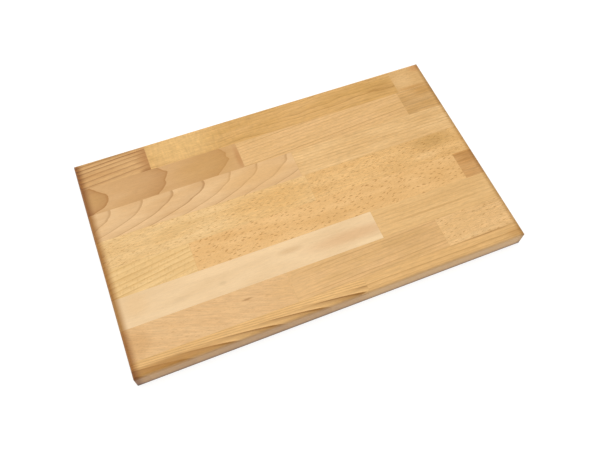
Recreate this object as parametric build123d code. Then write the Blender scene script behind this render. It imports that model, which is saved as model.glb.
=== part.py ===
from build123d import *
import os

# Butcher-block cutting board: finger-jointed beech staves, edge-glued into one slab.
# Frame: +X along the staves, +Y to the back edge, +Z up; origin under the middle of the board.

# Driving dimensions, in millimetres.
board_length = 500.0
board_thickness = 28.0
stave_width = 40.0  # every row but the first and the last
back_row_width = 41.0  # trimmed when the slab was cut to size
front_row_width = 19.0  # ripped off on the other side
edge_round = 4.5  # routed round-over along every edge of both faces
corner_ease = 2.0  # radius of the four upright corners
finger_length = 10.0  # how far the fingers of an end joint reach into each other
finger_pitch = 4.0  # from one finger to the next, through the thickness
finger_tip = 0.6  # flat width of a finger's tip
tip_glue = 0.3  # glue left between a tip and the root it enters
edge_glue = 0.1  # glue line between two rows

# Rows from the back: length of the left stave, and of the right one where a third lies between.
rows = [
    {"left": 93.0, "right": 49.0},
    {"left": 207.5, "right": 53.0},
    {"left": 272.0},
    {"left": 275.0},
    {"left": 106.0, "right": 29.0},
    {"left": 332.0},
    {"left": 203.0, "right": 97.0},
    {"left": 286.0},
]

board_width = back_row_width + (len(rows) - 2) * stave_width + front_row_width
left_end = -board_length / 2
right_end = board_length / 2
overcut = 5.0  # how far rough pieces stand past the board before it is cut to shape


def side_plane(y, z=0.0):
    """Upright plane along the board at depth y, looking to the back, with local y up."""
    return Plane(origin=(0, y, z), x_dir=(1, 0, 0), z_dir=(0, -1, 0))


def board_shape():
    """The slab cut to size: both round-overs meet in mitres at the eased upright corners."""
    half_thickness = board_thickness / 2
    along = side_plane(board_width / 2, half_thickness) * RectangleRounded(
        board_length, board_thickness, edge_round
    )
    end_plane = Plane(origin=(left_end, 0, half_thickness), x_dir=(0, 1, 0), z_dir=(1, 0, 0))
    across = end_plane * RectangleRounded(board_width, board_thickness, edge_round)
    plan = RectangleRounded(board_length, board_width, corner_ease)
    return (
        extrude(along, amount=board_width)
        & extrude(across, amount=board_length)
        & extrude(plan, amount=board_thickness)
    )


def finger_profile(joint_x):
    """Points up the end joint whose line on both faces lies at joint_x."""
    half_tip = finger_tip / 2
    lowest_finger = int(board_thickness / finger_pitch) + 2  # under the board, whose shape trims it
    points = []
    for finger in range(lowest_finger, -1, -1):
        depth = finger * finger_pitch
        root = depth - finger_pitch / 2
        points.append((joint_x, board_thickness - depth - half_tip))
        points.append((joint_x, board_thickness - depth + half_tip))
        points.append((joint_x - finger_length, board_thickness - root - half_tip))
        points.append((joint_x - finger_length, board_thickness - root + half_tip))
    return points


def straight_end(end_x):
    """Two points up the board's own end, past it by the overcut."""
    side = 1 if end_x > 0 else -1
    bottom = -overcut
    top = board_thickness + overcut
    return [(end_x + side * overcut, bottom), (end_x + side * overcut, top)]


def shifted(points, distance):
    return [(x + distance, z) for x, z in points]


def between(start, stop, back_y, front_y, board):
    """The stretch of a row between two upright outlines, trimmed to the board's shape."""
    outline = Polyline(*start, *reversed(stop), close=True)
    rough = extrude(side_plane(back_y) * make_face(outline), amount=back_y - front_y)
    return rough & board


def row_edges():
    """The y of every row's back edge and of the board's front edge, from the back."""
    widths = [back_row_width] + [stave_width] * (len(rows) - 2) + [front_row_width]
    edges = [board_width / 2]
    for width in widths:
        edges.append(edges[-1] - width)
    return edges


def row_joints(row):
    """The x of a row's end joints, from the left."""
    joints = [left_end + row["left"]]
    if "right" in row:
        joints.append(right_end - row["right"])
    return joints


def row_pieces(number, row, back_y, front_y, board):
    """Staves of one row and the glue in its finger joints, by name."""
    joints = row_joints(row)
    sides = ["left", "right"] if len(joints) == 1 else ["left", "middle", "right"]
    half_glue = tip_glue / 2
    outlines = [finger_profile(x) for x in joints]
    starts = [straight_end(left_end)] + [shifted(points, half_glue) for points in outlines]
    stops = [shifted(points, -half_glue) for points in outlines] + [straight_end(right_end)]
    pieces = {}
    for side, start, stop in zip(sides, starts, stops):
        pieces[f"row_{number}_{side}_stave"] = between(start, stop, back_y, front_y, board)
    for side, start, stop in zip(["left", "right"], stops, starts[1:]):
        pieces[f"row_{number}_{side}_finger_glue"] = between(start, stop, back_y, front_y, board)
    return pieces


def edge_glue_line(y, board):
    """The thin sheet of glue between two rows, over the board's full length."""
    sheet = Box(board_length, edge_glue, board_thickness, align=(Align.CENTER, Align.CENTER, Align.MIN))
    return Pos(0, y, 0) * sheet & board


def cutting_board():
    """Every separate piece of the board, by name."""
    board = board_shape()
    edges = row_edges()
    half_line = edge_glue / 2
    pieces = {}
    for index, row in enumerate(rows):
        back_y = edges[index] + (overcut if index == 0 else -half_line)
        front_y = edges[index + 1] + (-overcut if index == len(rows) - 1 else half_line)
        pieces.update(row_pieces(index + 1, row, back_y, front_y, board))
    for index, y in enumerate(edges[1:-1], start=1):
        pieces[f"glue_line_{index}_{index + 1}"] = edge_glue_line(y, board)
    return pieces


os.makedirs("parts", exist_ok=True)
for name, piece in cutting_board().items():
    piece.label = name
    export_step(piece, f"parts/{name}.step")
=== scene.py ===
import math

import bmesh
import bpy
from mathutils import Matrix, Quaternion, Vector


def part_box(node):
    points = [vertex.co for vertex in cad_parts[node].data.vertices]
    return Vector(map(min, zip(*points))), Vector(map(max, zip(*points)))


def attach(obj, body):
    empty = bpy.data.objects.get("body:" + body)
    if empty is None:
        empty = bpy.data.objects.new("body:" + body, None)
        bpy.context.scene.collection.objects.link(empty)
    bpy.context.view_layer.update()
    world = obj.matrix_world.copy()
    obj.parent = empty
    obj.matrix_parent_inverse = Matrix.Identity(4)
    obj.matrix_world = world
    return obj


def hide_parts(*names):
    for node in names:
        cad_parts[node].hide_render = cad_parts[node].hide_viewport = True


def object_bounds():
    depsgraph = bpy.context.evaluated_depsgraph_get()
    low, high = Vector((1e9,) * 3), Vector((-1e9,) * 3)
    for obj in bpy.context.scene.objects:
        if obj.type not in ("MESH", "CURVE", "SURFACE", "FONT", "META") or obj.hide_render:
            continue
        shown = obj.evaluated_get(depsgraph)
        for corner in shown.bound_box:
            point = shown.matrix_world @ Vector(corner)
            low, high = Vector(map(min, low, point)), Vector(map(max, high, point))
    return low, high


# A butcher-block cutting board: finger-jointed beech staves, edge-glued into one slab and oiled.
# Lengths are in millimetres until the last step of each mesh, and Blender's metres are MM times those.
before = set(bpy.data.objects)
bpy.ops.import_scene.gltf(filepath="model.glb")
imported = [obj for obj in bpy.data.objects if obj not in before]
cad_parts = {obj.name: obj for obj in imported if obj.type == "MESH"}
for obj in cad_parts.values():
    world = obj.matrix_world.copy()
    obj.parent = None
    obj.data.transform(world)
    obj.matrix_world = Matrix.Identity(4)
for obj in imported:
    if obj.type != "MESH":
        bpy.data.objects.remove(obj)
cad_low, cad_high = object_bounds()

MM = 0.001
EDGE_ROUND = 4.5  # routed round-over along every edge of both faces
CORNER_EASE = 2.0  # radius of the four upright corners
FINGER_PITCH = 4.0  # from one finger of an end joint to the next, through the thickness
FINGER_TIP = 0.6  # flat width of a finger's tip
TIP_GLUE = 0.3  # glue between a finger's tip and the root it enters
ARC_STEPS = 14  # facets in a quarter of a round-over
OVERCUT = 5.0  # how far rough pieces stand past the slab before it is cut to shape
TOUCHING = 0.01  # a piece this close to the slab's own end or edge reaches it
LEFT_SOAK = 12.0  # how far in from the left end the oil still darkens the wood
RIGHT_SOAK = 9.0  # and from the right end, which is darkened less
SIDE_SOAK = 14.0  # and from the long edges
FOOT_SHADE = 13.0  # how far up the sides a painted shade darkens the foot, darkest at the bottom edge
END_SKIN = 2.5  # how deep the end grain shows at both ends, where the round-over turns down to it


def box_mm(node):
    """Lowest and highest corner of a CAD node, in millimetres."""
    lowest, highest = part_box(node)
    return lowest / MM, highest / MM


low = Vector(cad_low) / MM
high = Vector(cad_high) / MM
top = high.z
glue_low, glue_high = box_mm("row_1_left_finger_glue")
finger_length = glue_high.x - glue_low.x - TIP_GLUE


# ---------------------------------------------------------------- shapes

def rounded_rectangle(first_low, first_high, second_low, second_high, radius):
    """Outline of a rectangle whose four corners are quarter circles."""
    centres = [
        (first_high - radius, second_high - radius),
        (first_low + radius, second_high - radius),
        (first_low + radius, second_low + radius),
        (first_high - radius, second_low + radius),
    ]
    points = []
    for quarter, (a, b) in enumerate(centres):
        for step in range(ARC_STEPS + 1):
            angle = math.radians(90) * (quarter + step / ARC_STEPS)
            points.append((a + radius * math.cos(angle), b + radius * math.sin(angle)))
    return points


def prism(name, outline, axis, start, stop):
    """Closed solid with that outline in the other two axes, from start to stop along axis."""
    place = {
        "x": lambda a, b, along: (along, a, b),
        "y": lambda a, b, along: (a, along, b),
        "z": lambda a, b, along: (a, b, along),
    }[axis]
    shape = bmesh.new()
    near = [shape.verts.new(Vector(place(a, b, start)) * MM) for a, b in outline]
    far = [shape.verts.new(Vector(place(a, b, stop)) * MM) for a, b in outline]
    shape.faces.new(near)
    shape.faces.new(reversed(far))
    for index in range(len(outline)):
        after = (index + 1) % len(outline)
        shape.faces.new((near[index], far[index], far[after], near[after]))
    bmesh.ops.recalc_face_normals(shape, faces=shape.faces)
    mesh = bpy.data.meshes.new(name)
    shape.to_mesh(mesh)
    shape.free()
    piece = bpy.data.objects.new(name, mesh)
    bpy.context.scene.collection.objects.link(piece)
    return piece


def trim(piece, cutter):
    """Keeps only what of the piece lies inside the cutter."""
    cut = piece.modifiers.new("trim", "BOOLEAN")
    cut.operation = "INTERSECT"
    cut.solver = "EXACT"
    cut.object = cutter
    graph = bpy.context.evaluated_depsgraph_get()
    trimmed = bpy.data.meshes.new_from_object(piece.evaluated_get(graph))
    piece.modifiers.remove(cut)
    rough = piece.data
    piece.data = trimmed
    bpy.data.meshes.remove(rough)


def discard(piece):
    """Removes a piece that only served to cut others."""
    mesh = piece.data
    bpy.data.objects.remove(piece)
    bpy.data.meshes.remove(mesh)


def clean(piece):
    """Welds the cut edges, and shades the round-overs smooth and the flats flat."""
    shape = bmesh.new()
    shape.from_mesh(piece.data)
    bmesh.ops.remove_doubles(shape, verts=shape.verts, dist=0.002 * MM)
    bmesh.ops.dissolve_limit(
        shape, angle_limit=math.radians(0.2), verts=shape.verts, edges=shape.edges
    )
    for face in shape.faces:
        face.smooth = True
    shape.to_mesh(piece.data)
    shape.free()
    piece.data.set_sharp_from_angle(angle=math.radians(30))
    weighted = piece.modifiers.new("flat faces stay flat", "WEIGHTED_NORMAL")
    weighted.keep_sharp = True


def slab_shape():
    """The slab cut to size, its round-overs meeting in mitres at the eased upright corners."""
    front = rounded_rectangle(low.x, high.x, low.z, high.z, EDGE_ROUND)
    end = rounded_rectangle(low.y, high.y, low.z, high.z, EDGE_ROUND)
    plan = rounded_rectangle(low.x, high.x, low.y, high.y, CORNER_EASE)
    slab = prism("slab", front, "y", low.y, high.y)
    across = prism("across", end, "x", low.x, high.x)
    upright = prism("upright", plan, "z", low.z, high.z)
    for cutter in (across, upright):
        trim(slab, cutter)
        discard(cutter)
    return slab


def finger_outline(joint_x):
    """Points up an end joint whose line on both faces lies at joint_x; its fingers reach back in x."""
    half_tip = FINGER_TIP / 2
    points = []
    for finger in range(int(top / FINGER_PITCH) + 2, -1, -1):
        root = top - finger * FINGER_PITCH
        tip = root + FINGER_PITCH / 2
        points.append((joint_x, root - half_tip))
        points.append((joint_x, root + half_tip))
        points.append((joint_x - finger_length, tip - half_tip))
        points.append((joint_x - finger_length, tip + half_tip))
    return points


def stave_outline(lowest, highest):
    """Side outline of a stave: straight at the board's own ends, fingered at its joints."""
    bottom = low.z - OVERCUT
    over = top + OVERCUT
    left = [(low.x - OVERCUT, bottom), (low.x - OVERCUT, over)]
    right = [(high.x + OVERCUT, bottom), (high.x + OVERCUT, over)]
    if lowest.x > low.x + TOUCHING:
        left = finger_outline(lowest.x + finger_length)
    if highest.x < high.x - TOUCHING:
        right = finger_outline(highest.x)
    return left + right[::-1]


def finger_glue_outline(lowest, highest):
    """The film in an end joint: one finger outline and the same again, a tip's glue further on."""
    left = finger_outline(lowest.x + finger_length)
    right = finger_outline(highest.x)
    return left + right[::-1]


def glue_line_outline():
    """The sheet between two rows, rough all round."""
    left = low.x - OVERCUT
    right = high.x + OVERCUT
    bottom = low.z - OVERCUT
    over = top + OVERCUT
    return [(left, bottom), (right, bottom), (right, over), (left, over)]


def row_span(lowest, highest):
    """Where a row's pieces start and stop in y, rough at the board's own long edges."""
    start = lowest.y - OVERCUT if lowest.y < low.y + TOUCHING else lowest.y
    stop = highest.y + OVERCUT if highest.y > high.y - TOUCHING else highest.y
    return start, stop


def shaped(node, slab):
    """A finely made piece in the place and shape of its CAD node."""
    lowest, highest = box_mm(node)
    start, stop = row_span(lowest, highest)
    if node.endswith("stave"):
        outline = stave_outline(lowest, highest)
    elif node.endswith("finger_glue"):
        outline = finger_glue_outline(lowest, highest)
    else:
        outline = glue_line_outline()
    piece = prism(node + "_finished", outline, "y", start, stop)
    trim(piece, slab)
    clean(piece)
    return piece


# ---------------------------------------------------------------- materials

def linear(code):
    """Linear colour of an sRGB hex value such as "#E4B97D"."""
    channels = []
    for place in (1, 3, 5):
        value = int(code[place:place + 2], 16) / 255
        channels.append(value / 12.92 if value <= 0.04045 else ((value + 0.055) / 1.055) ** 2.4)
    return (*channels, 1.0)


def add(tree, kind, links=None, **settings):
    """Adds a node with its settings, then sets or links each input, given by its name or its place.
    A node given as a value stands for its first output in use."""
    made = tree.nodes.new(kind)
    for key, value in settings.items():
        setattr(made, key, value)
    usable = [socket for socket in made.inputs if socket.enabled]
    for key, value in (links or {}).items():
        if isinstance(key, int):
            socket = usable[key]
        else:
            socket = next(found for found in usable if found.name == key)
        if isinstance(value, bpy.types.Node):
            value = next(found for found in value.outputs if found.enabled)
        if isinstance(value, bpy.types.NodeSocket):
            tree.links.new(value, socket)
        else:
            socket.default_value = value
    return made


MATH = "ShaderNodeMath"
VECTOR = "ShaderNodeVectorMath"
MIX = "ShaderNodeMix"
RANGE = "ShaderNodeMapRange"
NOISE = "ShaderNodeTexNoise"
CELLS = "ShaderNodeTexVoronoi"


def place_mm(tree):
    """Every point of the board in millimetres, in the board's own frame."""
    coordinates = add(tree, "ShaderNodeTexCoord")
    return add(tree, VECTOR, {0: coordinates.outputs["Object"], "Scale": 1 / MM}, operation="SCALE")


def in_the_log(tree, point, stave, middle):
    """The point as it lay in the tree: x up the trunk, y and z across it from the pith."""
    across, depth = stave["pith"]
    lean_across, lean_down = stave["lean"]
    return add(
        tree,
        "ShaderNodeMapping",
        {
            "Vector": point,
            "Location": (middle.x, middle.y + across, top - depth),
            "Rotation": (0, math.radians(lean_down), math.radians(lean_across)),
        },
        vector_type="TEXTURE",
    )


def round_the_pith(tree, log, stave):
    """Distance from the pith, and the way round it, both in millimetres at the stave's middle."""
    parts = add(tree, "ShaderNodeSeparateXYZ", {0: log})
    flat = add(tree, "ShaderNodeCombineXYZ", {"Y": parts.outputs["Y"], "Z": parts.outputs["Z"]})
    radius = add(tree, VECTOR, {0: flat}, operation="LENGTH").outputs["Value"]
    turn = add(tree, MATH, {0: parts.outputs["Y"], 1: parts.outputs["Z"]}, operation="ARCTAN2")
    across, depth = stave["pith"]
    way_round = add(tree, MATH, {0: turn, 1: math.hypot(across, depth)}, operation="MULTIPLY")
    return parts.outputs["X"], radius, way_round


def grain(tree, point, along, across, detail, seed=0.0):
    """Uneven streaks about along by across mm in size, shifted by the seed."""
    scaled = add(
        tree,
        VECTOR,
        {0: point, 1: (1 / along, 1 / across, 1 / across), 2: (seed, seed * 1.7, seed * 2.3)},
        operation="MULTIPLY_ADD",
    )
    return add(tree, NOISE, {"Vector": scaled, "Scale": 1.0, "Detail": detail, "Roughness": 0.55}).outputs[0]


def growth_rings(tree, log, radius, stave):
    """0 in the pale early wood, 1 at the dark edge of the late wood, which ends sharply at the next ring."""
    wander = grain(tree, log, 110.0, 26.0, 2.0, stave["seed"])
    wandered = add(
        tree, MATH, {0: wander, 1: 2 * stave["wander"], 2: radius}, operation="MULTIPLY_ADD"
    )
    ripple = grain(tree, log, 40.0, 9.0, 1.0, stave["seed"] + 5)
    rippled = add(tree, MATH, {0: ripple, 1: stave["ripple"], 2: wandered}, operation="MULTIPLY_ADD")
    count = add(
        tree, MATH, {0: rippled, 1: 1 / stave["ring"], 2: stave["start"]}, operation="MULTIPLY_ADD"
    )
    number = add(tree, MATH, {0: count}, operation="FLOOR")
    within = add(tree, MATH, {0: count}, operation="FRACT")
    chance = add(tree, "ShaderNodeTexWhiteNoise", {"W": number}, noise_dimensions="1D").outputs["Value"]
    strength = add(tree, RANGE, {"Value": chance, "To Min": stave["faintest"], "To Max": 1.0})
    body = add(tree, MATH, {0: within, 1: stave["fill_power"]}, operation="POWER")
    filled = add(tree, MATH, {0: body, 1: stave["fill"]}, operation="MULTIPLY")
    edge = add(
        tree,
        RANGE,
        {"Value": within, "From Min": 1 - stave["line_width"], "From Max": 1 - 0.3 * stave["line_width"]},
        interpolation_type="SMOOTHSTEP",
    )
    lined = add(tree, MATH, {0: edge, 1: stave["line"], 2: filled}, operation="MULTIPLY_ADD")
    return add(tree, MATH, {0: lined, 1: strength}, operation="MULTIPLY")


def ray_flecks(tree, log, along, way_round, size, share, seed):
    """Rays cut by the surface. A ray is a thin ribbon that runs out from the pith: length up the trunk
    and width round it. It shows as a short dash on flat-sawn wood, a cross-grain flake on quarter-sawn.
    The size is its length, its width, and how many lengths and widths lie from one ray to the next."""
    length, width, spacing = size
    stagger = grain(tree, log, 9.0, 9.0, 1.0, seed)
    round_mm = add(tree, MATH, {0: stagger, 1: 4.0 * width, 2: way_round}, operation="MULTIPLY_ADD")
    # The skew sets them in slanting files rather than in columns.
    skewed = add(tree, MATH, {0: round_mm, 1: -1.7, 2: along}, operation="MULTIPLY_ADD")
    cell = add(
        tree,
        "ShaderNodeCombineXYZ",
        {
            "X": add(tree, MATH, {0: skewed, 1: 1 / (length * spacing), 2: seed}, operation="MULTIPLY_ADD"),
            "Y": add(tree, MATH, {0: round_mm, 1: 1 / (width * spacing)}, operation="MULTIPLY"),
        },
    )
    cells = add(tree, CELLS, {"Vector": cell, "Scale": 1.0}, feature="F1", voronoi_dimensions="2D")
    # Each cell draws a lot, and the higher it is, the larger its ray. Clumps of cells have more luck.
    chance = add(tree, "ShaderNodeSeparateColor", {0: cells.outputs["Color"]}).outputs[0]
    clumps = grain(tree, log, 34.0, 13.0, 1.0, seed + 2)
    crowded = add(tree, MATH, {0: clumps, 1: 0.9, 2: chance}, operation="MULTIPLY_ADD")
    drawn = add(tree, RANGE, {"Value": crowded, "From Min": 1.45 - share, "From Max": 1.75 - share})
    reach = add(tree, MATH, {0: drawn, 1: 0.6 / spacing}, operation="MULTIPLY")
    gap = add(tree, MATH, {0: reach, 1: cells.outputs["Distance"]}, operation="SUBTRACT")
    return add(
        tree, RANGE, {"Value": gap, "From Max": 0.25 / spacing}, interpolation_type="SMOOTHSTEP"
    )


def mark(tree, point, place, half_size):
    """A soft oval patch, right through the thickness: 1 in its middle, fading to 0 at its half size.
    Its place is counted from the board's left end and its back edge."""
    right, forward = place
    half_x, half_y = half_size
    middle = (low.x + right, high.y - forward, 0)
    offset = add(tree, VECTOR, {0: point, 1: middle}, operation="SUBTRACT")
    scaled = add(tree, VECTOR, {0: offset, 1: (1 / half_x, 1 / half_y, 0)}, operation="MULTIPLY")
    away = add(tree, VECTOR, {0: scaled}, operation="LENGTH").outputs["Value"]
    return add(
        tree,
        RANGE,
        {"Value": away, "From Min": 1.0, "From Max": 0.2},
        interpolation_type="SMOOTHSTEP",
    )


def stained_and_shaded(tree, colour, stains_and_shade):
    """The colour with each stain or painted shade laid over it in turn, given as how much of it and its
    colour.
    """
    for amount, code in stains_and_shade:
        colour = add(
            tree, MIX, {0: amount, 1: colour, 2: linear(code)}, data_type="RGBA", clamp_factor=True
        )
    return colour


def oil_and_shade_masks(tree, point):
    """How far the oil soaked in, from 0 to 1: at the left end and the right end; at the rounded long
    edges of both faces; and at the end faces themselves. Also, from 0 to 1, a painted shade at the foot,
    standing for the shadow along the bottom edge.
    Each is full over the outer fifth of its depth and fades out over the rest."""
    where = add(tree, "ShaderNodeSeparateXYZ", {0: point})
    depths = (
        ("X", low.x, LEFT_SOAK),
        ("X", high.x, -RIGHT_SOAK),
        ("Y", low.y, SIDE_SOAK),
        ("Y", high.y, -SIDE_SOAK),
        # Painted shade at the foot: darker towards the bottom edge, standing for its shadow.
        ("Z", low.z, FOOT_SHADE),
        ("X", low.x, END_SKIN),
        ("X", high.x, -END_SKIN),
    )
    soak_and_shade = [
        add(
            tree,
            RANGE,
            {"Value": where.outputs[axis], "From Min": edge + inward, "From Max": edge + 0.2 * inward},
            interpolation_type="SMOOTHSTEP",
        )
        for axis, edge, inward in depths
    ]
    left, right, front, back, foot_shade, left_face, right_face = soak_and_shade
    sides = add(tree, MATH, {0: front, 1: back}, operation="MAXIMUM")
    # The flat of the sides, about the middle of the thickness, takes up less.
    halfway = add(tree, MATH, {0: where.outputs["Z"], 1: -0.5 * top}, operation="ADD")
    from_halfway = add(tree, MATH, {0: halfway}, operation="ABSOLUTE")
    outer = add(tree, RANGE, {"Value": from_halfway, "From Min": 0.25 * top, "From Max": 0.4 * top})
    rounded_edges = add(tree, MATH, {0: sides, 1: outer}, operation="MULTIPLY")
    end_faces = add(tree, MATH, {0: left_face, 1: right_face}, operation="MAXIMUM")
    return (left, right, foot_shade), rounded_edges, end_faces


def oiled_and_shaded(tree, colour, soak_and_shade):
    """The colour as the oil has darkened it at the left end and the right end, with painted shade at the
    foot.
    """
    # The two ends' colours are oil; the foot's is painted shade.
    for amount, code in zip(soak_and_shade, ("#BA9C6A", "#D2C7AD", "#958571")):
        colour = add(
            tree, MIX, {0: amount, 1: colour, 2: linear(code)}, data_type="RGBA", blend_type="MULTIPLY"
        )
    return next(socket for socket in colour.outputs if socket.enabled)


def rolled_edge(tree, point, log, rings, stave):
    """Growth layers that turn down with the front edge, so that its round-over cuts them to dark tongues
    that taper towards +X."""
    where = add(tree, "ShaderNodeSeparateXYZ", {0: point})
    inward = add(tree, MATH, {0: where.outputs["Y"], 1: -low.y}, operation="ADD")
    # A tongue's edge leaves the front 4 mm along for each 1 mm in, and runs flatter the further in it is.
    flatter = add(tree, MATH, {0: inward, 1: 0.3, 2: 4.0}, operation="MULTIPLY_ADD")
    bent = add(tree, MATH, {0: inward, 1: flatter}, operation="MULTIPLY")
    along = add(tree, MATH, {0: where.outputs["X"], 1: bent}, operation="ADD")
    tongue = {
        "ring": stave["tongue_length"], "start": stave["tongue_start"], "wander": 4.0, "ripple": 3.0,
        "fill": 0.6, "fill_power": 0.9, "line": 0.2,
    }
    tongues = growth_rings(tree, log, along, {**stave, **tongue})
    # They reach 8.5 mm in, and have faded into the plain rings at 12 mm.
    near = add(
        tree, RANGE, {"Value": inward, "From Min": 12.0, "From Max": 8.5}, interpolation_type="SMOOTHSTEP"
    )
    return add(tree, MIX, {0: near, 1: rings, 2: tongues})


def grown_colour_and_shade(tree, point, log, rings, large, small, rounded_edges, end_faces, stave):
    """The wood's colour: its tone, growth rings, patches, among them strips of partly painted shade, and
    large and small ray flecks.
    """
    broad = grain(tree, log, 70.0, 15.0, 2.0, stave["seed"] + 11)
    tone = add(tree, RANGE, {"Value": broad, "From Min": 0.32, "From Max": 0.68})
    # The rounded edges drink more oil where the growth lines run out, which draws those darker.
    drawn = add(tree, MATH, {0: rounded_edges, 1: stave["drawn"], 2: 1.0}, operation="MULTIPLY_ADD")
    # End grain shows even the faint rings.
    evened = add(tree, MATH, {0: end_faces, 1: -0.5, 2: 1.0}, operation="MULTIPLY_ADD")
    shown = add(tree, MATH, {0: rings, 1: evened}, operation="POWER")
    darkened = add(tree, MATH, {0: shown, 1: drawn}, operation="MULTIPLY")
    stains_and_shade = [(tone, stave["pale"]), (darkened, stave["late"])]
    # The strips along the front face of row 8 are partly painted shade.
    for place, half_size, code, strength in stave["marks_and_shade"]:
        spot = mark(tree, point, place, half_size)
        stains_and_shade.append((add(tree, MATH, {0: spot, 1: strength}, operation="MULTIPLY"), code))
    for flecks, strength in ((large, stave["fleck_strength"]), (small, stave["small_flecks"])):
        amount = add(tree, MATH, {0: flecks, 1: strength}, operation="MULTIPLY")
        stains_and_shade.append((amount, stave["fleck"]))
    return stained_and_shaded(tree, linear(stave["deep"]), stains_and_shade)


def flame_and_glint(tree, point, log, stave):
    """Wide rays cut lengthwise: cross-grain flakes, lighter and darker, partly the wood's own figure and
    partly a painted glint where they catch the light, strongest near the left end of the stave that has
    them."""
    flakes = grain(tree, log, 3.5, 10.0, 3.0, stave["seed"] + 41)
    flaked = add(tree, RANGE, {"Value": flakes, "From Min": 0.35, "From Max": 0.65, "To Min": -1.0})
    # Where the painted glint of the flakes is strongest.
    glint_patch = mark(tree, point, (120, 18), (190, 90))
    return add(tree, MATH, {0: flaked, 1: glint_patch}, operation="MULTIPLY")


def brightness(tree, point, log, fibres, stave):
    """About 1, lighter and darker along the streaks and the fibres, and in the flakes of a flame with their
    painted glint.
    """
    streaks = grain(tree, log, 45.0, 2.4, 3.0, stave["seed"] + 31)
    patterns = [(streaks, stave["streak"]), (fibres, stave["fibre"])]
    if stave["flame_and_glint"]:
        patterns.append((flame_and_glint(tree, point, log, stave), stave["flame_and_glint"]))
    level = 1 - 0.5 * (stave["streak"] + stave["fibre"])
    for pattern, strength in patterns:
        level = add(tree, MATH, {0: pattern, 1: strength, 2: level}, operation="MULTIPLY_ADD")
    return level


def oiled_beech(node, stave):
    """Planed, sanded and oiled beech: a warm satin face with growth lines, short brown ray flecks and
    fine fibres, and darker end grain that has soaked up more of the oil."""
    lowest, highest = box_mm(node)
    middle = (lowest + highest) / 2
    material = bpy.data.materials.new("oiled_beech_" + node.removesuffix("_stave"))
    material.use_nodes = True
    tree = material.node_tree
    shader = tree.nodes["Principled BSDF"]

    point = place_mm(tree)
    log = in_the_log(tree, point, stave, middle)
    along, radius, way_round = round_the_pith(tree, log, stave)
    rings = growth_rings(tree, log, radius, stave)
    if stave["tongue_length"]:
        rings = rolled_edge(tree, point, log, rings, stave)
    large_size = (stave["fleck_length"], stave["fleck_width"], stave["fleck_spacing"])
    large = ray_flecks(tree, log, along, way_round, large_size, stave["flecks"], stave["seed"])
    # The commonest rays are 1 by 0.3 mm, and drawn twice as coarse so that they show.
    small_size = (2.2, 0.7, 2.0)
    small = ray_flecks(tree, log, along, way_round, small_size, 0.75, stave["seed"] + 3)
    # Real fibres are 1 mm long and far too fine to show, so bundles of them are drawn.
    fibres = grain(tree, log, 9.0, 1.3, 3.0, stave["seed"] + 23)

    soak_and_shade, rounded_edges, end_faces = oil_and_shade_masks(tree, point)
    grown_and_shaded = grown_colour_and_shade(tree, point, log, rings, large, small, rounded_edges, end_faces, stave)
    level = brightness(tree, point, log, fibres, stave)
    # Oil darkens the ends, and painted shade the foot.
    colour = oiled_and_shaded(tree, add(tree, VECTOR, {0: grown_and_shaded, "Scale": level}, operation="SCALE"), soak_and_shade)

    # Sanding leaves the fibres proud, and rays and late wood a little low.
    relief = add(tree, MATH, {0: fibres, 1: 0.5}, operation="MULTIPLY")
    relief = add(tree, MATH, {0: large, 1: -0.4, 2: relief}, operation="MULTIPLY_ADD")
    relief = add(tree, MATH, {0: rings, 1: -0.3, 2: relief}, operation="MULTIPLY_ADD")
    bump = add(tree, "ShaderNodeBump", {"Strength": 0.5, "Distance": 0.06 * MM, "Height": relief})
    satin = add(tree, RANGE, {"Value": fibres, "To Min": 0.44, "To Max": 0.58})

    tree.links.new(colour, shader.inputs["Base Color"])
    tree.links.new(satin.outputs[0], shader.inputs["Roughness"])
    tree.links.new(bump.outputs[0], shader.inputs["Normal"])
    shader.inputs["IOR"].default_value = 1.45
    return material


def wood_glue():
    """Cured wood glue, cut flush: a hair-thin line, a little darker and glossier than the wood."""
    material = bpy.data.materials.new("cured_wood_glue")
    material.use_nodes = True
    tree = material.node_tree
    shader = tree.nodes["Principled BSDF"]
    point = place_mm(tree)
    soak_and_shade = oil_and_shade_masks(tree, point)[0]
    clouds = grain(tree, point, 30.0, 6.0, 2.0)
    # The glue too: oil at the ends and painted shade at the foot.
    colour = oiled_and_shaded(tree, stained_and_shaded(tree, linear("#C79A5E"), [(clouds, "#DFB67A")]), soak_and_shade)
    tree.links.new(colour, shader.inputs["Base Color"])
    shader.inputs["Roughness"].default_value = 0.42
    return material


# What all staves share, in millimetres and degrees. Each stave then changes what is its own.
PLAIN = {
    # Early wood where the board is pale and where it is deep in tone, late wood, and rays.
    "pale": "#E8C088", "deep": "#DEB378", "late": "#BC8B47", "fleck": "#A8722A",
    # How far the pith lies across, to the back, and below the top face, from the stave's middle.
    "pith": (0, 240),
    # How the trunk leans across and down towards +X.
    "lean": (0.0, 0.6),
    # Growth in a year, and the part of a ring that the count starts at.
    "ring": 4.5, "start": 0.0,
    # How far the rings wander off their circles over long stretches, and how far over short ones.
    "wander": 1.4, "ripple": 0.3,
    # How dark the late wood is, and how late in the year it sets in.
    "fill": 0.12, "fill_power": 2.0,
    # How dark its sharp edge is, and the part of the ring that this takes.
    "line": 0.15, "line_width": 0.12,
    # How strong the faintest ring is beside the strongest.
    "faintest": 0.3,
    # Large rays: the share of places that have one, their size and spacing, and how dark they are.
    "flecks": 0.0, "fleck_length": 4.0, "fleck_width": 1.0, "fleck_spacing": 3.0, "fleck_strength": 0.55,
    # How strong the small rays, the streaks, the fibres and the cross-grain flame with its painted glint
    # are.
    "small_flecks": 0.15, "streak": 0.2, "fibre": 0.45, "flame_and_glint": 0.0,
    # How much more the rings show on the rounded long edges.
    "drawn": 0.5,
    # Tongues that the front edge's round-over cuts: their length, or 0 for none, and the part of a
    # tongue that the count starts at.
    "tongue_length": 0.0, "tongue_start": 0.0,
    # Patches of another colour, some of them partly painted shade: place, half size, colour and strength.
    "marks_and_shade": (),
}

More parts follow.
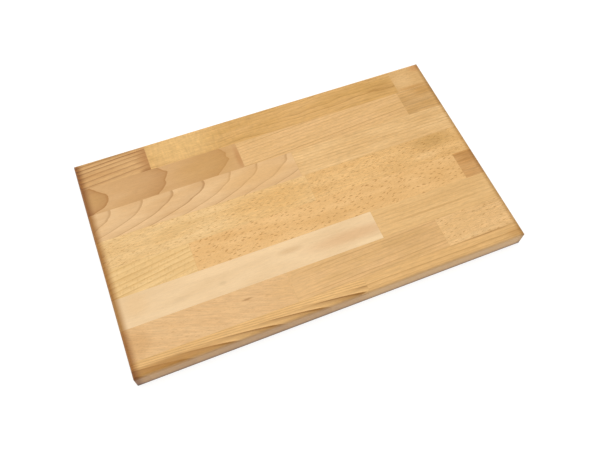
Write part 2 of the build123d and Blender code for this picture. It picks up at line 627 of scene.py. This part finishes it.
STAVES = {
    "row_1_left": {
        "pale": "#DBB079", "deep": "#CFA067", "late": "#8F5926", "pith": (-58, 110), "lean": (0.3, -1.7),
        "ring": 3.0, "start": 0.2, "wander": 0.8, "ripple": 0.5, "fill": 0.55, "fill_power": 1.8,
        "line": 0.3, "line_width": 0.35, "faintest": 0.6,
        "marks_and_shade": (
            ((96, 22), (22, 34), "#B07C46", 0.8),
            ((90, 41), (16, 7), "#9C6A35", 0.8),
            ((45, 2), (60, 6), "#B98C4F", 0.6),
        ),
    },
    "row_1_middle": {
        "pale": "#DDB071", "deep": "#CFA25D", "late": "#AC7D3C", "pith": (210, 12), "lean": (0.8, 0.0),
        "ring": 5.2, "wander": 7.0, "ripple": 7.0, "fill": 0.45, "line": 0.3, "line_width": 0.25,
        # Its flame is partly a painted glint.
        "small_flecks": 0.05, "fibre": 0.5, "flame_and_glint": 0.065,
        "marks_and_shade": (
            ((432, 24), (26, 14), "#BF914E", 0.5),
            ((135, 18), (75, 40), "#E6BE7F", 0.7),
        ),
    },
    "row_1_right": {
        "pale": "#DCB37A", "deep": "#D4AA70", "pith": (-180, 60), "streak": 0.1,
        "marks_and_shade": (
            ((493, 6), (15, 11), "#C98F55", 0.65),
            ((476, 38), (36, 4.5), "#C08A44", 0.55),
            ((466, 22), (22, 18), "#E6C08B", 0.45),
        ),
    },
    "row_2_left": {
        "pale": "#D6AC7A", "deep": "#CEA26D", "late": "#B17F47", "pith": (3, 250), "lean": (0.0, 2.9),
        "seed": 53.0, "ring": 4.2, "start": 0.25, "wander": 0.8, "fill": 0.9, "fill_power": 2.4,
        "line": 0.2, "line_width": 0.05, "faintest": 0.75, "small_flecks": 0.1, "streak": 0.08,
        "fibre": 0.25,
        "marks_and_shade": (
            ((205, 64), (7, 26), "#BE8653", 0.75),
            ((12, 62), (24, 17), "#C5985C", 0.6),
            ((165, 62), (70, 36), "#C59650", 0.5),
        ),
    },
    "row_2_middle": {
        "pale": "#E4BA83", "deep": "#DCB278", "late": "#B1803E", "pith": (-200, 60), "lean": (3.4, 0.0),
        "fill": 0.2, "line": 0.65, "line_width": 0.22, "faintest": 0.1, "small_flecks": 0.06,
        "fibre": 0.55,
    },
    "row_2_right": {
        "pale": "#D4AA72", "deep": "#C99D5F", "pith": (150, 150), "streak": 0.75,
        "marks_and_shade": (((486, 46), (26, 12), "#BF8F4C", 0.7),),
    },
    "row_3_left": {
        "pale": "#E7C293", "deep": "#DDB481", "late": "#A97944", "pith": (19, 130), "lean": (0.0, 4.4),
        "ring": 3.0, "start": 0.2, "wander": 0.7, "ripple": 0.2, "fill": 0.32, "fill_power": 1.3,
        "line": 0.45, "faintest": 0.6, "small_flecks": 0.1, "streak": 0.06, "fibre": 0.25,
        "marks_and_shade": (((215, 98), (80, 24), "#DCAE70", 0.5),),
    },
    "row_3_right": {
        "pale": "#E8C18A", "deep": "#DBB279", "late": "#BB8B49", "pith": (-170, 70), "ring": 4.2,
        "wander": 1.2, "fill": 0.2, "line": 0.4, "line_width": 0.3, "small_flecks": 0.06, "fibre": 0.6,
    },
    "row_4_left": {
        "pale": "#EBC790", "deep": "#DFB87D", "flecks": 0.6, "fill": 0.05, "line": 0.05,
        "small_flecks": 0.35, "fibre": 0.6,
        "marks_and_shade": (((225, 141), (100, 40), "#DFAF6A", 0.6),),
    },
    "row_4_right": {
        "pale": "#E8BD80", "deep": "#DCAF70", "flecks": 0.62, "fleck_strength": 0.6, "fill": 0.05,
        "line": 0.05, "small_flecks": 0.4, "streak": 0.15, "fibre": 0.65,
        "marks_and_shade": (
            ((458, 131), (46, 16), "#BF9450", 0.6),
            ((438, 150), (26, 8), "#ECC48C", 0.6),
        ),
    },
    "row_5_left": {
        "pale": "#EDC98F", "deep": "#E4BE82", "late": "#C4964F", "pith": (-190, 60), "lean": (8.0, 0.0),
        "ring": 6.3, "wander": 1.6, "ripple": 1.2, "fill": 0.45, "line": 0.25, "line_width": 0.3,
        "faintest": 0.5, "streak": 0.1,
    },
    "row_5_middle": {
        "pale": "#EBC085", "deep": "#E0B273", "flecks": 0.75, "fleck_length": 4.2, "fleck_width": 1.15,
        "fleck_spacing": 2.7, "fleck_strength": 0.68, "fill": 0.05, "line": 0.05, "small_flecks": 0.3,
        "streak": 0.06, "fibre": 0.3,
    },
    "row_5_right": {
        "pale": "#D8AA71", "deep": "#BF8B4D", "pith": (120, 160), "streak": 0.7,
        "marks_and_shade": (((486, 162), (34, 10), "#BD8847", 0.7),),
    },
    "row_6_left": {
        "pale": "#EED0A7", "deep": "#E5C59A", "late": "#DDB98C", "fill": 0.06, "line": 0.05,
        "small_flecks": 0.06, "streak": 0.05, "fibre": 0.2,
        "marks_and_shade": (
            ((300, 223), (90, 12), "#DDB487", 0.75),
            ((320, 238), (50, 5), "#F3D7AE", 0.8),
            ((218, 215), (22, 6), "#D6B285", 0.6),
            ((150, 206), (120, 10), "#F2D3A9", 0.6),
            ((25, 216), (22, 20), "#E8C494", 0.6),
            ((128, 226), (7, 4), "#D9BC93", 0.7),
            ((76, 228), (16, 6), "#DFC097", 0.6),
        ),
    },
    "row_6_right": {
        "pale": "#E6BD83", "deep": "#DDB378", "late": "#BB8D50", "pith": (-170, 50), "ring": 5.0,
        "wander": 0.8, "line": 0.35, "line_width": 0.2, "streak": 0.12, "small_flecks": 0.05,
        "marks_and_shade": (((410, 226), (95, 1.8), "#C4975A", 0.6),),
    },
    "row_7_left": {
        "pale": "#E6BE8B", "deep": "#DEB480", "late": "#BC8D5B", "pith": (150, 150), "lean": (-18.0, 0.0),
        "fill": 0.16, "line": 0.2, "flecks": 0.3, "fleck_strength": 0.25, "streak": 0.12, "fibre": 0.5,
        "marks_and_shade": (
            ((148, 256), (9, 1.8), "#A97B47", 0.8),
            ((206, 262), (50, 30), "#DDB27A", 0.85),
            ((14, 262), (26, 26), "#CFA067", 0.6),
        ),
    },
    "row_7_middle": {
        "pale": "#E3B881", "deep": "#D9AF74", "late": "#B18143", "pith": (-180, 50), "lean": (1.5, 0.0),
        "ring": 4.0, "fill": 0.35, "line": 0.35, "line_width": 0.3, "faintest": 0.1,
        "small_flecks": 0.05,
        "marks_and_shade": (
            ((370, 256), (70, 16), "#C49A60", 0.3),
            ((206, 262), (45, 30), "#DFB57E", 0.8),
        ),
    },
    "row_7_right": {
        "pale": "#EBC28B", "deep": "#E2B87E", "flecks": 0.55, "fleck_strength": 0.6,
        "small_flecks": 0.3, "fibre": 0.6,
        "marks_and_shade": (((440, 277), (50, 4), "#EDC791", 0.6),),
    },
    "row_8_left": {
        "pale": "#EFC384", "deep": "#E6B979", "late": "#9A6A2C", "pith": (130, 34), "lean": (-4.0, 0.0),
        "ring": 2.8, "wander": 0.5, "ripple": 0.2, "fill": 0.3, "fill_power": 0.9, "line": 0.3,
        "line_width": 0.3, "faintest": 0.8, "drawn": 0.75, "tongue_length": 55.0, "tongue_start": 0.13,
        "small_flecks": 0.0,
        "marks_and_shade": (
            ((36, 295), (96, 9), "#AE7A34", 0.8),
            # Along the front face: partly paler, less oiled wood, partly painted shade on a face that turns
            # from the light.
            ((143, 301), (400, 4), "#AF885C", 0.95),
        ),
    },
    "row_8_right": {
        "pale": "#E6BA7D", "deep": "#DCB073", "late": "#B18345", "pith": (-90, 160), "lean": (0.5, 0.4),
        "ring": 2.6, "wander": 0.8, "fill": 0.3, "line": 0.3, "line_width": 0.35, "small_flecks": 0.0,
        "marks_and_shade": (
            ((450, 281.5), (56, 1.8), "#A47238", 0.6),
            ((492, 293), (20, 9), "#B98540", 0.45),
            # Along the front face: partly paler, less oiled wood, partly painted shade on a face that turns
            # from the light.
            ((393, 301), (400, 4), "#BF9866", 0.95),
        ),
    },
}


# ---------------------------------------------------------------- the board

slab = slab_shape()
glue = wood_glue()
# The seed shifts the random grain, so that no two staves are alike, and row_2_left sets its own.
for number, node in enumerate(sorted(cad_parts)):
    piece = shaped(node, slab)
    if node.endswith("stave"):
        stave = {**PLAIN, "seed": 7.3 * number, **STAVES[node.removesuffix("_stave")]}
        piece.data.materials.append(oiled_beech(node, stave))
    else:
        piece.data.materials.append(glue)
    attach(piece, "root")
    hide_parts(node)
discard(slab)


# ---------------------------------------------------------------- stage, light and camera

def studio_floor():
    """A plain white sweep of matt paper that the board lies on."""
    half = 6000.0
    outline = [(-half, -half), (half, -half), (half, half), (-half, half)]
    thickness = 20.0
    floor = prism("floor", outline, "z", -thickness, 0.0)
    material = bpy.data.materials.new("matt_white_paper")
    material.use_nodes = True
    shader = material.node_tree.nodes["Principled BSDF"]
    shader.inputs["Base Color"].default_value = linear("#909090")
    shader.inputs["Roughness"].default_value = 0.9
    shader.inputs["Specular IOR Level"].default_value = 0.1
    # Strongly lit paper: it looks evenly white, and takes almost no shadow.
    shader.inputs["Emission Color"].default_value = linear("#FFFFFF")
    shader.inputs["Emission Strength"].default_value = 0.85
    floor.data.materials.append(material)


def softbox(name, place, target, size, power, code):
    """A square area light, in millimetres and watts, that faces the target."""
    light = bpy.data.lights.new(name, "AREA")
    light.shape = "SQUARE"
    light.size = size * MM
    light.energy = power
    light.color = linear(code)[:3]
    lamp = bpy.data.objects.new(name, light)
    lamp.location = Vector(place) * MM
    lamp.rotation_euler = (Vector(target) - Vector(place)).to_track_quat("-Z", "Y").to_euler()
    bpy.context.scene.collection.objects.link(lamp)


def white_room(overhead):
    """White walls all round, up to about 20 degrees, and that much light from the ceiling."""
    world = bpy.data.worlds.new("white_room")
    world.use_nodes = True
    tree = world.node_tree
    background = tree.nodes["Background"]
    direction = add(tree, "ShaderNodeTexCoord").outputs["Generated"]
    height = add(tree, "ShaderNodeSeparateXYZ", {0: direction}).outputs["Z"]
    strength = add(
        tree,
        RANGE,
        {"Value": height, "From Min": 0.3, "From Max": 0.45, "To Min": 1.02, "To Max": overhead},
        interpolation_type="SMOOTHSTEP",
    )
    background.inputs["Color"].default_value = linear("#FFFFFF")
    tree.links.new(strength.outputs[0], background.inputs["Strength"])
    bpy.context.scene.world = world


def main_camera():
    """Looks down at the top face from the front left, tilted a little."""
    aim = Vector((-7.8, -36.9, top))
    distance = 790.9
    azimuth = math.radians(24.3)
    elevation = math.radians(61.6)
    roll = math.radians(2.7)
    forward = Vector((
        math.sin(azimuth) * math.cos(elevation),
        math.cos(azimuth) * math.cos(elevation),
        -math.sin(elevation),
    ))
    data = bpy.data.cameras.new("main_camera")
    data.lens = 38.15
    data.clip_start = 10 * MM
    data.clip_end = 50000 * MM
    camera = bpy.data.objects.new("main_camera", data)
    camera.location = (aim - forward * distance) * MM
    camera.rotation_mode = "QUATERNION"
    camera.rotation_quaternion = forward.to_track_quat("-Z", "Y") @ Quaternion((0, 0, 1), roll)
    bpy.context.scene.collection.objects.link(camera)
    bpy.context.scene.camera = camera


studio_floor()
white_room(overhead=0.44)
softbox("overhead_softbox", place=(-60, 280, 1500), target=(0, 0, 0), size=1200, power=14.2, code="#FFF5E0")
bpy.context.scene.view_settings.view_transform = "Standard"
main_camera()
